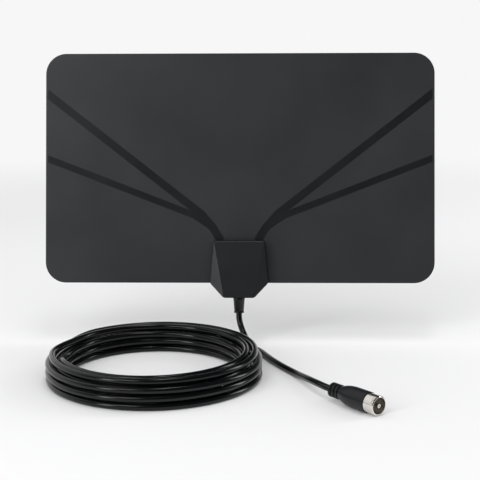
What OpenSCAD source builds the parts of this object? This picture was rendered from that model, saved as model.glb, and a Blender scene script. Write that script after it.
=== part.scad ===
// Flat indoor and attic television antenna: a thin laminated sheet with a printed
// foil dipole, a small junction box on its lower edge, and a coiled coaxial lead
// with a push-on connector. Depth is measured forward from the back of the sheet.

/* [Sheet] */
// Width of the sheet
sheet_w = 264; // [200:1:330]
// Height of the sheet
sheet_h = 156; // [150:1:190]
// Radius of the sheet's corners
sheet_corner = 14; // [5:1:22]
// Thickness of the rear film
rear_film_t = 0.5; // [0.3:0.1:1]
// Thickness of the front film
front_film_t = 0.6; // [0.4:0.1:1]
// How far the sheet leans back from upright, in degrees
sheet_lean = 11; // [0:1:20]

/* [Foil] */
// Thickness of the foil
foil_t = 0.1; // [0.05:0.05:0.2]
// Width of the upper arm
upper_arm_w = 5.2; // [3:0.1:8]
// Width of the lower arm
lower_arm_w = 4.4; // [3:0.1:8]
// Width of the stem that runs down into the box
stem_w = 5.4; // [3:0.1:6]
// Diameter of the contact pad
pad_d = 6; // [4:0.5:7]
// Height of the band that the front film forms over the foil
emboss_t = 0.15; // [0.1:0.05:0.3]
// Bare margin between an arm's end and the edge of the sheet
arm_margin = 1.6; // [1:0.1:6]
// Height of the upper arm's end above the middle of the sheet
upper_arm_rise = 51.5; // [20:0.5:60]
// Height of the lower arm's end above the middle of the sheet
lower_arm_rise = 7; // [-20:0.5:15]

/* [Box] */
// Width of the box along its top edge
box_top_w = 34.2; // [33:0.1:38]
// Width of the box where it is widest
box_wide_w = 39.2; // [38:0.1:46]
// Width of the box along its bottom edge
box_bottom_w = 20.6; // [19:0.1:26]
// How far the box reaches up over the sheet
box_over = 28.3; // [28:0.1:32]
// How far the box hangs below the sheet
box_under = 9.7; // [9:0.1:14]
// Depth of the box at its top and sides
box_thin = 7.6; // [7.5:0.1:10]
// Depth of the box at its bottom edge
box_thick = 12.6; // [12.2:0.1:16]
// Wall of the front shell
box_wall = 1.5; // [1:0.1:1.6]
// Rounding of the box's corners
box_corner = 1.2; // [0.5:0.1:2]
// Thickness of the adhesive ring under the box
ring_t = 0.4; // [0.2:0.1:0.8]
// How far the adhesive ring shows around the box
ring_lip = 0.5; // [0:0.1:1]

/* [Inside the box] */
// Thickness of the circuit board
board_t = 1.2; // [0.8:0.1:1.6]
// Width of the circuit board
board_w = 26; // [25:0.5:27]
// Height of the circuit board
board_h = 26.5; // [26:0.5:27]
// Distance between the two screws
screw_pitch = 17.6; // [15:0.2:19]
// Diameter of the screws
screw_d = 2; // [1.6:0.1:2.2]
// Length of the screws below the head
screw_len = 7; // [6:0.1:7.2]
// Width of the ferrite core
core_w = 6; // [5:0.1:8]
// Thickness of the ferrite core
core_t = 2.8; // [2.4:0.1:3]
// Height of the ferrite core
core_h = 4.5; // [3:0.1:6]

/* [Cable] */
// Diameter of the cable's jacket
cable_d = 4; // [3.6:0.1:4.2]
// Diameter of the cable's foam core
foam_d = 2.6; // [2.2:0.1:2.8]
// Diameter of the centre wire
wire_d = 0.6; // [0.4:0.1:0.8]
// Distance of the cable's axis in front of the back of the sheet
cable_depth = 6.2; // [6.1:0.1:6.4]
// Diameter of the strain relief where it leaves the box
relief_top_d = 8; // [7.6:0.1:8.6]
// Diameter of the strain relief at its free end
relief_end_d = 6.6; // [5.6:0.1:7.4]
// Length of the strain relief outside the box
relief_len = 10.3; // [8:0.1:10.5]
// Mean radius of the coil, in the middle of its turns
coil_mean_r = 59; // [50:1:62]
// Width of the coil's bundle of turns
coil_bundle_w = 14; // [8:0.5:16]
// Height of the coil's bundle of turns
coil_bundle_h = 18; // [8:0.5:20]

/* [Connector] */
// Outer diameter of the connector's metal shell
shell_d = 11.2; // [10.8:0.1:11.6]
// Inner diameter of the shell, which takes the socket
shell_bore = 9.5; // [9:0.1:9.6]
// Length of the shell that shows
shell_len = 7.4; // [6:0.1:10]
// Diameter of the contact pin
pin_d = 2.4; // [2:0.1:2.6]
// Diameter of the hole in the contact pin
pin_hole_d = 0.9; // [0.7:0.1:1.2]
// Diameter of the moulded grip
grip_d = 12; // [11.8:0.1:14]
// Length of the moulded grip, with its ribs
grip_len = 29.6; // [28:0.1:32]
// Number of ribs on the grip's tail
rib_count = 3; // [2:1:4]

/* [Hidden] */
$fn = 64;

// Working clearances
fit_gap = 0.2;
tube_gap = 0.05;
foil_gap = 0.05;
film_lap = 0.8;
join_lap = 0.01;
cut_over = 1;
through = 20;

// Levels of the sheet's layers, as depths from its back
foil_front = rear_film_t + foil_t;
film_front = rear_film_t + front_film_t;
ring_front = film_front + ring_t;

// Route of the foil arm on the right half, in the plane of the sheet
arm_end_x = sheet_w / 2;
fork = [26.4, -30.8];
branch = [30.4, -32.2];
knee = [18, -40.4];
stem_rise = 1.9;
stem_top_x = 13.4;
pad_x = 11.2;
pad_drop = 5.3;
film_step_drop = 10.3;

// Levels of the box, in the plane of the sheet
sheet_bottom = -sheet_h / 2;
box_top = sheet_bottom + box_over;
box_bottom = sheet_bottom - box_under;
film_step = box_top - film_step_drop;
pad_at = [pad_x, box_top - pad_drop];
stem_top = [stem_top_x, box_top + stem_rise];

// Corners of the right half of the box: across, up, depth, and how far the
// corner moves across and up for each millimetre that the outline shrinks
box_corners = [
    [box_top_w / 2, box_top, box_thin, 1, 1],
    [box_wide_w / 2, sheet_bottom, box_thin, 1, -0.4],
    [box_bottom_w / 2, box_bottom, box_thick, 0.4, -1]
];
post_fn = 32;

// Circuit board, set so that the cable's foam core lies on it
board_front = cable_depth - foam_d / 2;
board_back = board_front - board_t;
board_drop = 2.8;
board_top = box_top - board_drop;
board_bottom = board_top - board_h;
board_hole_gap = 0.4;

// Screws, posts and bosses
screw_rise = 5.5;
screw_up = board_bottom + screw_rise;
head_d = 3.8;
head_t = 1.1;
head_gap = 0.1;
post_d = 5.6;
boss_d = 4.6;
pilot_gap = 0.05;
slot_len = 2.4;
slot_w = 0.5;
slot_depth = 0.6;

// Contact springs
spring_t = 0.25;
spring_w = 2.4;
spring_foot = 5;
spring_bend = 2;
spring_touch = 0.6;
spring_tip = 1.8;
spring_lift = 1;
spring_gap = 0.05;

// Ferrite core and winding
core_drop = 13.5;
core_up = board_top - core_drop;
core_hole_d = 1.5;
core_hole_pitch = 2.8;
winding_d = 0.9;
winding_over = 0.9;

// Chip parts
chip_size = [2, 0.7, 1.2];
chip_pitch = 3.6;
chip_drop = 5.2;
chip_up = board_top - chip_drop;

// Cable end inside the box
relief_neck_d = 6.8;
relief_flange_d = 9;
relief_flange_t = 1.2;
flange_foot = box_bottom + box_wall;
flange_top = flange_foot + relief_flange_t;
jacket_drop = 1;
jacket_top = board_bottom - jacket_drop;
crimp_wall = 0.5;
crimp_len = 4.2;
foam_rise = 3.5;
foam_top = board_bottom + foam_rise;
wire_rise = 2.5;
wire_top = foam_top + wire_rise;
cradle_w = 8;
cradle_len = 3;

// Ground that the cable lies on, and the coil on it
ground = -116;
coil_at = [-50, -99];
coil_edge_r = 3;
coil_sides = 180;
coil_outer_r = coil_mean_r + coil_bundle_w / 2;

// Connector, lying on the ground with its mouth forward
mouth_at = [80.6, -170.4];
plug_turn = 50;
plug_axis_h = grip_d / 2;
plug_len = shell_len + grip_len;
insulator_t = 3;
cavity_len = 7.6;
shell_back_t = 1.2;
shell_wall = 0.5;
shell_end = -(cavity_len + insulator_t + shell_back_t);
shell_neck_d = shell_bore + 2 * shell_wall;
core_hole_gap = 0.3;
pin_tail = 0.6;
pin_root_step = 0.2;
pin_tip = 0.4;
plug_jacket_gap = 0.6;
lip = 0.6;
slit_w = 0.35;
slit_depth = 0.35;
slit_drop = 1.5;
slit_from = 200;
slit_sweep = 50;
rib_depth = 0.75;
rib_pitch = 2.7;
rib_w = 1.5;
rib_r = 4.3;
rib_edge = 0.3;
grip_shoulder = 12.5;
grip_edge = [0.3, 0.8];
shoulder_step = [0.3, 3.5];
tail_top = [0.3, 1.2];
tail_run = 0.4;
plug_crimp_len = 7;

// Cable route from the strain relief to the coil, and from the coil to the plug
exit_at = leaned([0, -cable_depth, box_bottom - relief_len]);
exit_dir = leaned([0, 0, -1]);
drop_straight = 0.9;
drop_route = concat([for (i = [0 : 2]) exit_at + i * drop_straight * exit_dir], [
    [0.2, -25.8, -99.2], [1, -27.3, -102.5], [2.2, -29.7, -105.4], [3.6, -32.8, -107.8],
    [5.1, -36.6, -109.4], [6.6, -41.2, -109.9], [8.2, -48, -109.9], [9.9, -55.8, -110],
    [11.3, -63.7, -110], [12.5, -71.6, -110], [13.3, -80, -110], [13.7, -92, -110]
]);
plug_dir = [cos(plug_turn), -sin(plug_turn), 0];
tail_straight = 3;
tail_end = [mouth_at[0], mouth_at[1], ground + plug_axis_h] - plug_len * plug_dir;
tail_route = concat([
    [-43.4, -35.3, -114], [-29, -36.6, -114], [-14, -38, -114], [-1.5, -39.5, -114],
    [5, -41.5, -114], [9.2, -44.3, -114], [12.4, -48, -114], [14.9, -52.4, -114],
    [17.3, -58.2, -114], [20.2, -65.8, -114], [23.4, -73.4, -114], [29.6, -86.2, -114],
    [35.6, -97.2, -113.9], [38.5, -103.8, -113.4], [41.3, -111.2, -112.4],
    [44, -118.8, -111.4], [46.9, -126, -110.6], [50, -132.5, -110.1]
], [for (i = [2 : -1 : 0]) tail_end - i * tail_straight * plug_dir]);
tube_sides = 10;
rings_per_span = 2;

// Turns a place or direction from the upright sheet to the leaning one
function leaned(p) = [
    p[0],
    p[1] * cos(sheet_lean) + p[2] * sin(sheet_lean),
    -p[1] * sin(sheet_lean) + p[2] * cos(sheet_lean)
];

function unit(v) = v / norm(v);

// Smooth curve from b to c, which has a before it and d after it, at share t of the way
function blend_point(a, b, c, d, t) =
    let (reach = norm(c - b))
    (1 - t) * (1 - t) * ((1 + 2 * t) * b + t * reach * unit(c - a))
    + t * t * ((3 - 2 * t) * c - (1 - t) * reach * unit(d - b));

function route_point(route, i) =
    i < 0 ? 2 * route[0] - route[1]
    : i >= len(route) ? 2 * route[len(route) - 1] - route[len(route) - 2]
    : route[i];

// The route with more points on the smooth curve
function smooth_route(route) = concat(
    [for (i = [0 : len(route) - 2]) for (k = [0 : rings_per_span - 1])
        blend_point(route_point(route, i - 1), route[i], route[i + 1],
                    route_point(route, i + 2), k / rings_per_span)],
    [route[len(route) - 1]]
);

function heading(path, i) =
    unit(path[min(i + 1, len(path) - 1)] - path[max(i - 1, 0)]);

// One ring of the tube, square to the path
function tube_ring(path, i, r, side) =
    let (h = heading(path, i), u = unit(cross(h, side)), v = cross(h, u))
    [for (k = [0 : tube_sides - 1])
        path[i] + r * (cos(360 * k / tube_sides) * u + sin(360 * k / tube_sides) * v)];

// Stands a part of the sheet or box at the sheet's lean
module on_sheet() rotate([-sheet_lean, 0, 0]) children();

// Extrudes an outline drawn in the plane of the sheet, between two depths
module layer(from, to)
    translate([0, -from, 0]) rotate([90, 0, 0]) linear_extrude(to - from) children();

// A straight pin or bore along the depth, at a place in the plane of the sheet
module depth_pin(at, d, from, to)
    translate([at[0], -from, at[1]]) rotate([90, 0, 0]) cylinder(d = d, h = to - from);

// A straight pin or bore that runs up the sheet at the cable's depth
module cable_pin(d, from, to)
    translate([0, -cable_depth, from]) cylinder(d = d, h = to - from);

module rounded_rect(w, h, r) {
    square([w - 2 * r, h], center = true);
    square([w, h - 2 * r], center = true);
    for (x = [-1, 1], y = [-1, 1])
        translate([x * (w / 2 - r), y * (h / 2 - r)]) circle(r);
}

// Direction square to the way from a to b
function left_of(a, b) = [a[1] - b[1], b[0] - a[0]] / norm(b - a);

// Step from a ribbon's middle line to its edge at point i, for half the ribbon's width
function ribbon_side(points, i, half_w) =
    let (last = len(points) - 1,
         before = left_of(points[max(i, 1) - 1], points[max(i, 1)]),
         after = left_of(points[min(i, last - 1)], points[min(i, last - 1) + 1]),
         middle = unit(before + after))
    middle * half_w / (middle * before);

// Ribbon of one width along a chain of points
module ribbon(points, w) {
    last = len(points) - 1;
    polygon(concat(
        [for (i = [0 : last]) points[i] + ribbon_side(points, i, w / 2)],
        [for (i = [last : -1 : 0]) points[i] - ribbon_side(points, i, w / 2)]
    ));
}

// Foil of the right half, each side wider by grow
module element_outline(grow = 0) {
    intersection() {
        union() {
            ribbon([[arm_end_x, upper_arm_rise], fork, knee], upper_arm_w + 2 * grow);
            ribbon([[arm_end_x, lower_arm_rise], branch, knee], lower_arm_w + 2 * grow);
        }
        translate([0, -sheet_h / 2])
            square([sheet_w / 2 - arm_margin + grow, sheet_h]);
    }
    ribbon([fork, knee, stem_top, pad_at], stem_w + 2 * grow);
}

// The right half's foil with its pad, each side wider by grow, between two depths
module element_foil(grow, from, to) {
    layer(from, to) element_outline(grow);
    depth_pin(pad_at, pad_d + 2 * grow, from, to);
}

module both_sides() {
    children();
    mirror([1, 0, 0]) children();
}

// Outline of the box, smaller by shrink all round
module box_outline(shrink)
    hull() for (s = [-1, 1], c = box_corners)
        translate([s * (c[0] - (box_corner + shrink) * c[3]),
                   c[1] - (box_corner + shrink) * c[4]])
            circle(box_corner, $fn = post_fn);

// Solid of the box, smaller by shrink all round and at the front
module box_form(shrink)
    hull() for (s = [-1, 1], c = box_corners)
        translate([s * (c[0] - (box_corner + shrink) * c[3]), 0,
                   c[1] - (box_corner + shrink) * c[4]])
            rotate([90, 0, 0]) cylinder(r = box_corner, h = c[2] - shrink, $fn = post_fn);

// All of the sheet's plane below a level
module below(level) translate([-sheet_w, level - sheet_h]) square([2 * sheet_w, sheet_h]);

module film(from, to, notch_top)
    layer(from, to) difference() {
        rounded_rect(sheet_w, sheet_h, sheet_corner);
        intersection() {
            box_outline(box_wall + film_lap);
            below(notch_top);
        }
    }

module front_film() color("#3a3b3e") on_sheet() {
    difference() {
        union() {
            film(rear_film_t, film_front, box_top);
            layer(film_front - join_lap, film_front + emboss_t) difference() {
                both_sides() element_outline();
                below(box_top + ring_lip + fit_gap);
            }
        }
        both_sides() element_foil(fit_gap, rear_film_t - join_lap, foil_front + foil_gap);
    }
}

module rear_film() color("#303134") on_sheet() film(0, rear_film_t, film_step);

module element_right() color("#b8bcc0") on_sheet() element_foil(0, rear_film_t, foil_front);

module element_left() color("#b8bcc0") on_sheet()
    mirror([1, 0, 0]) element_foil(0, rear_film_t, foil_front);

module seal_ring() color("#111113") on_sheet()
    layer(film_front, ring_front) difference() {
        box_outline(-ring_lip);
        box_outline(box_wall);
        below(sheet_bottom);
    }

module housing_front() color("#2a2b2d") on_sheet()
    difference() {
        box_form(0);
        difference() {
            translate([0, join_lap, 0]) box_form(box_wall);
            for (s = [-1, 1])
                depth_pin([s * screw_pitch / 2, screw_up], boss_d, board_front, box_thick);
        }
        layer(-join_lap, ring_front) translate([-box_wide_w, sheet_bottom - fit_gap])
            square([2 * box_wide_w, sheet_h]);
        for (s = [-1, 1])
            depth_pin([s * screw_pitch / 2, screw_up], screw_d + pilot_gap,
                      board_front - join_lap, screw_len + head_t + fit_gap);
        cable_pin(relief_neck_d + fit_gap, box_bottom - cut_over, flange_foot + cut_over);
    }

module housing_back() color("#2a2b2d") on_sheet()
    difference() {
        union() {
            layer(0, film_front) {
                intersection() {
                    box_outline(box_wall + film_lap + fit_gap);
                    below(film_step - fit_gap);
                }
                intersection() {
                    box_outline(box_wall + fit_gap);
                    below(sheet_bottom - fit_gap);
                }
            }
            for (s = [-1, 1])
                depth_pin([s * screw_pitch / 2, screw_up], post_d, film_front - join_lap, board_back);
            layer(film_front - join_lap, cable_depth) translate([-cradle_w / 2, flange_top + fit_gap])
                square([cradle_w, cradle_len]);
        }
        for (s = [-1, 1]) {
            depth_pin([s * screw_pitch / 2, screw_up], screw_d + board_hole_gap, -cut_over, board_front);
            depth_pin([s * screw_pitch / 2, screw_up], head_d + fit_gap, -cut_over, head_t + head_gap);
        }
        cable_pin(cable_d + 2 * crimp_wall + fit_gap, flange_top - cut_over, board_bottom);
    }

module housing_screws() color("#9a9da0") on_sheet()
    for (s = [-1, 1]) difference() {
        union() {
            depth_pin([s * screw_pitch / 2, screw_up], head_d, head_gap, head_t + head_gap);
            depth_pin([s * screw_pitch / 2, screw_up], screw_d, head_t, head_t + screw_len);
        }
        layer(-cut_over, slot_depth) translate([s * screw_pitch / 2, screw_up]) {
            square([slot_len, slot_w], center = true);
            square([slot_w, slot_len], center = true);
        }
    }

module circuit_board() color("#2f6b3c") on_sheet()
    difference() {
        layer(board_back, board_front) translate([-board_w / 2, board_bottom])
            square([board_w, board_h]);
        for (s = [-1, 1])
            depth_pin([s * screw_pitch / 2, screw_up], screw_d + board_hole_gap,
                      board_back - cut_over, board_front + cut_over);
    }

// Leaf springs on the back of the board that press on the foil's pads
module contact_springs() color("#c9a24a") on_sheet()
    for (s = [-1, 1])
        translate([s * pad_at[0] + spring_w / 2, 0, 0]) rotate([0, -90, 0])
            linear_extrude(spring_w) {
                ribbon([
                    [pad_at[1] - spring_foot, spring_t / 2 - board_back],
                    [pad_at[1] - spring_bend, spring_t / 2 - board_back],
                    [pad_at[1] + spring_touch, -foil_front - spring_gap - spring_t / 2],
                    [pad_at[1] + spring_tip, -foil_front - spring_lift]
                ], spring_t);
            }

module balun_core() color("#3b3a3c") on_sheet()
    difference() {
        layer(board_front, board_front + core_t) translate([-core_w / 2, core_up - core_h / 2])
            square([core_w, core_h]);
        for (s = [-1, 1])
            translate([s * core_hole_pitch / 2, -board_front - core_t / 2, core_up - core_h])
                cylinder(d = core_hole_d, h = 2 * core_h);
    }

// Copper loop through both holes of the core
module balun_winding() color("#b56a35") on_sheet() {
    reach = core_h + 2 * winding_over;
    translate([0, -board_front - core_t / 2, core_up]) {
        for (s = [-1, 1])
            translate([s * core_hole_pitch / 2, 0, -reach / 2]) cylinder(d = winding_d, h = reach);
        for (u = [-1, 1]) {
            translate([-core_hole_pitch / 2, 0, u * reach / 2]) rotate([0, 90, 0])
                cylinder(d = winding_d, h = core_hole_pitch);
            for (s = [-1, 1])
                translate([s * core_hole_pitch / 2, 0, u * reach / 2]) sphere(d = winding_d);
        }
    }
}

module chip_parts() color("#8c7a5c") on_sheet()
    for (i = [-1, 0, 1])
        translate([i * chip_pitch - chip_size[0] / 2, -board_front - chip_size[1], chip_up])
            cube(chip_size);

module strain_relief() color("#161719") on_sheet()
    difference() {
        union() {
            cable_pin(relief_flange_d, flange_foot, flange_top);
            cable_pin(relief_neck_d, box_bottom - join_lap, flange_foot + join_lap);
            translate([0, -cable_depth, box_bottom - relief_len])
                cylinder(d1 = relief_end_d, d2 = relief_top_d, h = relief_len);
        }
        cable_pin(cable_d + 2 * tube_gap, box_bottom - relief_len - cut_over, flange_top + cut_over);
    }

module crimp_ring() color("#b9a06a") on_sheet()
    difference() {
        cable_pin(cable_d + 2 * crimp_wall, flange_top, flange_top + crimp_len);
        cable_pin(cable_d + 2 * tube_gap, flange_top - cut_over, flange_top + crimp_len + cut_over);
    }

// Jacketed end of the cable, inside the strain relief and the box
module cable_end() color("#101112") on_sheet()
    cable_pin(cable_d, box_bottom - relief_len, jacket_top);

module cable_foam() color("#ece9e2") on_sheet() cable_pin(foam_d, jacket_top, foam_top);

module cable_wire() color("#b56a35") on_sheet() {
    cable_pin(wire_d, foam_top, wire_top);
    translate([0, -cable_depth, wire_top]) sphere(d = wire_d);
    depth_pin([0, wire_top], wire_d, board_front, cable_depth);
}

// Round tube along a route, its rings turned about the side direction
module cable_tube(route, side) {
    path = smooth_route(route);
    last = len(path) - 1;
    n = tube_sides;
    points = [for (i = [0 : last]) each tube_ring(path, i, cable_d / 2, side)];
    walls = [for (i = [0 : last - 1], k = [0 : n - 1])
        [i * n + k, (i + 1) * n + k, (i + 1) * n + (k + 1) % n, i * n + (k + 1) % n]];
    caps = [[for (k = [0 : n - 1]) k], [for (k = [n - 1 : -1 : 0]) last * n + k]];
    polyhedron(points, concat(walls, caps), convexity = 6);
}

// Space that the coil takes, for the tubes that run up to its side
module coil_space() translate([coil_at[0], coil_at[1], ground - cut_over])
    cylinder(r = coil_outer_r, h = coil_bundle_h + 2 * cut_over, $fn = coil_sides);

module cable_drop() color("#101112") difference() {
    cable_tube(drop_route, [1, 0, 0]);
    coil_space();
}

module cable_tail() color("#101112") difference() {
    cable_tube(tail_route, [0, 0, 1]);
    coil_space();
}

module cable_coil() color("#101112")
    translate([coil_at[0], coil_at[1], ground]) rotate_extrude($fn = coil_sides)
        translate([coil_mean_r, coil_bundle_h / 2])
            rounded_rect(coil_bundle_w, coil_bundle_h, coil_edge_r, $fn = post_fn);

// Lays a part of the connector, drawn with its mouth up at height 0, on the ground
module on_plug()
    translate([mouth_at[0], mouth_at[1], ground + plug_axis_h])
        rotate([0, 0, -plug_turn]) rotate([0, 90, 0]) children();

module plug_body() color("#1f2022") on_plug()
    difference() {
        rotate_extrude() polygon(concat(
            [[0, -shell_len], [grip_d / 2 - grip_edge[0], -shell_len],
             [grip_d / 2, -shell_len - grip_edge[1]],
             [grip_d / 2, -shell_len - grip_shoulder],
             [grip_d / 2 - shoulder_step[0], -shell_len - grip_shoulder - shoulder_step[1]],
             [rib_r + tail_top[0], -plug_len + rib_count * rib_pitch + tail_top[1]],
             [rib_r, -plug_len + rib_count * rib_pitch + tail_run]],
            [for (i = [rib_count - 1 : -1 : 0]) each rib_profile(-plug_len + i * rib_pitch)],
            [[0, -plug_len]]
        ));
        translate([0, 0, shell_end]) cylinder(d = shell_neck_d + 2 * tube_gap, h = through);
        translate([0, 0, shell_end - plug_crimp_len])
            cylinder(d = cable_d + 2 * crimp_wall + 2 * tube_gap, h = through);
        translate([0, 0, -plug_len - cut_over]) cylinder(d = cable_d + 2 * tube_gap, h = plug_len);
    }

// Groove and rib of the grip's tail, from the groove down to the foot at level z
function rib_profile(z) = [
    [rib_r, z + rib_pitch - join_lap], [rib_r - rib_depth, z + rib_pitch - rib_edge],
    [rib_r - rib_depth, z + rib_w + rib_edge], [rib_r, z + rib_w], [rib_r, z + rib_edge],
    [rib_r - rib_edge, z]
];

module plug_shell() color("#c9c7c2") on_plug()
    difference() {
        rotate_extrude() polygon([
            [shell_bore / 2, -cavity_len - insulator_t], [shell_bore / 2, -lip / 2],
            [shell_bore / 2 + lip / 2, 0], [shell_d / 2 - lip, 0], [shell_d / 2, -lip],
            [shell_d / 2, -shell_len], [shell_neck_d / 2, -shell_len],
            [shell_neck_d / 2, shell_end],
            [foam_d / 2 + core_hole_gap, shell_end],
            [foam_d / 2 + core_hole_gap, -cavity_len - insulator_t]
        ]);
        for (a = [0 : 180 : 180]) rotate([0, 0, slit_from + a]) rotate_extrude(angle = slit_sweep)
            translate([shell_d / 2 - slit_depth, -slit_drop]) square([cut_over, slit_w]);
    }

module plug_insulator() color("#4a4642") on_plug()
    difference() {
        translate([0, 0, -cavity_len - insulator_t])
            cylinder(d = shell_bore - 2 * tube_gap, h = insulator_t);
        translate([0, 0, -cavity_len - insulator_t - cut_over])
            cylinder(d = pin_d + 2 * pin_root_step + 2 * tube_gap, h = through);
    }

module plug_pin() color("#d8d6d0") on_plug()
    difference() {
        rotate_extrude() polygon([
            [0, 0], [pin_d / 2 - pin_tip, 0], [pin_d / 2, -pin_tip], [pin_d / 2, -cavity_len],
            [pin_d / 2 + pin_root_step, -cavity_len],
            [pin_d / 2 + pin_root_step, -cavity_len - insulator_t - pin_tail],
            [0, -cavity_len - insulator_t - pin_tail]
        ]);
        translate([0, 0, -cavity_len]) cylinder(d = pin_hole_d, h = through);
    }

module plug_foam() color("#ece9e2") on_plug()
    translate([0, 0, shell_end - plug_jacket_gap])
        cylinder(d = foam_d, h = plug_jacket_gap + shell_back_t - pin_tail);

module plug_crimp() color("#b9a06a") on_plug()
    difference() {
        translate([0, 0, shell_end - plug_crimp_len])
            cylinder(d = cable_d + 2 * crimp_wall, h = plug_crimp_len);
        translate([0, 0, -plug_len]) cylinder(d = cable_d + 2 * tube_gap, h = plug_len);
    }

module plug_cable_end() color("#101112") on_plug()
    translate([0, 0, -plug_len])
        cylinder(d = cable_d, h = plug_len + shell_end - plug_jacket_gap);

front_film();
rear_film();
element_left();
element_right();
seal_ring();
housing_front();
housing_back();
housing_screws();
circuit_board();
contact_springs();
balun_core();
balun_winding();
chip_parts();
strain_relief();
crimp_ring();
cable_end();
cable_foam();
cable_wire();
cable_drop();
cable_coil();
cable_tail();
plug_body();
plug_shell();
plug_insulator();
plug_pin();
plug_crimp();
plug_cable_end();
plug_foam();
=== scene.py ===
"""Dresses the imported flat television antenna: sheet, junction box, coiled lead and connector."""

import logging
import math
from contextlib import contextmanager
from dataclasses import dataclass
from enum import Enum
from typing import Callable, Iterable, Iterator, Sequence

import bpy
from mathutils import Matrix, Vector


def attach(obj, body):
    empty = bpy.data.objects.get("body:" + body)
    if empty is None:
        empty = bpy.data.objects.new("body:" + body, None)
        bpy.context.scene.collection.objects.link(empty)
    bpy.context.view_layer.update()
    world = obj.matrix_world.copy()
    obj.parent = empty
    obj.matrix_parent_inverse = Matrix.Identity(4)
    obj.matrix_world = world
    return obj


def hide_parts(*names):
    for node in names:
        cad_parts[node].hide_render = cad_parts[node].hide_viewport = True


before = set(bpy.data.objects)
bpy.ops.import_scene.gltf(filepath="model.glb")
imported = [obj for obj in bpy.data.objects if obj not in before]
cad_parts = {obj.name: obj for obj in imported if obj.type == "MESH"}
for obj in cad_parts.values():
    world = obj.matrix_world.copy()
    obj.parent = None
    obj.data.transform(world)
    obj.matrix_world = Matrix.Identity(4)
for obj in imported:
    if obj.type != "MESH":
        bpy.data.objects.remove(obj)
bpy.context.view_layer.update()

log = logging.getLogger("antenna")

# Lengths are in millimetres and angles in degrees, unless a comment says otherwise
MM = 0.001
GROUND = -116.0
SHEET_LEAN = 11.0
SHEET_BOTTOM = -78.0
BOX_BOTTOM = -87.7
LEAD_BORE = 2.05
LEAD_DEPTH = 6.2
SMOOTH_ANGLE = 32.0
# Points nearer than this count as one point
SAME_PLACE = 0.01
# The same for points of a mesh, in metres
WELD = 1e-6
# Waves in a mottled film, as multiples of the width and height of its grain
WAVE_WIDTH = 4.0
WAVE_HEIGHT = 6.0
# The turn from the upright sheet to the leaning one
LEAN = Matrix.Rotation(math.radians(-SHEET_LEAN), 4, "X")

Pair = tuple[float, float]
Point = tuple[float, float, float]
Object = bpy.types.Object
Tree = bpy.types.NodeTree
Socket = bpy.types.NodeSocket


def hex_colour(code: str) -> tuple[float, float, float, float]:
    """Turns an sRGB hex colour into linear red, green, blue and alpha.

    Args:
        code: Six hex digits.

    Returns:
        The linear colour, fully opaque.
    """
    linear = []
    for i in (0, 2, 4):
        share = int(code[i : i + 2], 16) / 255
        linear.append(share / 12.92 if share <= 0.04045 else ((share + 0.055) / 1.055) ** 2.4)
    return (linear[0], linear[1], linear[2], 1.0)


def fresh_tree(owner: bpy.types.Material | bpy.types.World) -> Tree:
    """Turns on the nodes of a material or world and empties its tree.

    Args:
        owner: The material or world.

    Returns:
        The empty node tree.
    """
    owner.use_nodes = True
    owner.node_tree.nodes.clear()
    return owner.node_tree


def add_node(tree: Tree, kind: str, values: dict | None = None, links: dict | None = None,
             **settings: object) -> bpy.types.Node:
    """Adds a node with its settings, values and links.

    Args:
        tree: The node tree it goes into.
        kind: The node's type name.
        values: Input name or number to value.
        links: Input name or number to the socket that feeds it.
        **settings: Attributes of the node itself.

    Returns:
        The new node.
    """
    node = tree.nodes.new(kind)
    for key, value in settings.items():
        setattr(node, key, value)
    for key, value in (values or {}).items():
        node.inputs[key].default_value = value
    for key, socket in (links or {}).items():
        tree.links.new(socket, node.inputs[key])
    return node


def combined(tree: Tree, operation: str, first: Socket, second: Socket) -> Socket:
    """Adds a math node on two sockets.

    Args:
        tree: The node tree it goes into.
        operation: The node's operation.
        first: The first value.
        second: The second value.

    Returns:
        The socket with the result.
    """
    return add_node(tree, "ShaderNodeMath", None, {0: first, 1: second},
                    operation=operation).outputs[0]


def noise(tree: Tree, coords: Socket, size: float, detail: float = 2.0,
          roughness: float = 0.5) -> Socket:
    """Adds a node with smooth noise.

    Args:
        tree: The node tree it goes into.
        coords: Object coordinates.
        size: Width of its spots.
        detail: Number of finer layers.
        roughness: Weight of the finer layers.

    Returns:
        The socket with the noise.
    """
    return add_node(tree, "ShaderNodeTexNoise",
                    {"Scale": 1 / (size * MM), "Detail": detail, "Roughness": roughness},
                    {"Vector": coords}).outputs["Fac"]


def remapped(tree: Tree, source: Socket, start: float, end: float, low: float = 0.0,
             high: float = 1.0, kind: str = "SMOOTHSTEP") -> Socket:
    """Adds a node that turns one span of values into another.

    Args:
        tree: The node tree it goes into.
        source: The socket with the values.
        start: The value that becomes low.
        end: The value that becomes high.
        low: Result at the start and beyond it.
        high: Result at the end and beyond it.
        kind: SMOOTHSTEP for soft ends, LINEAR for a straight ramp.

    Returns:
        The socket with the result.
    """
    return add_node(tree, "ShaderNodeMapRange",
                    {"From Min": start, "From Max": end, "To Min": low, "To Max": high},
                    {"Value": source}, interpolation_type=kind).outputs["Result"]


class Pattern(Enum):
    """How the grain of a surface runs."""

    SPECKLE = "speckle"
    MOTTLE = "mottle"


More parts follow.
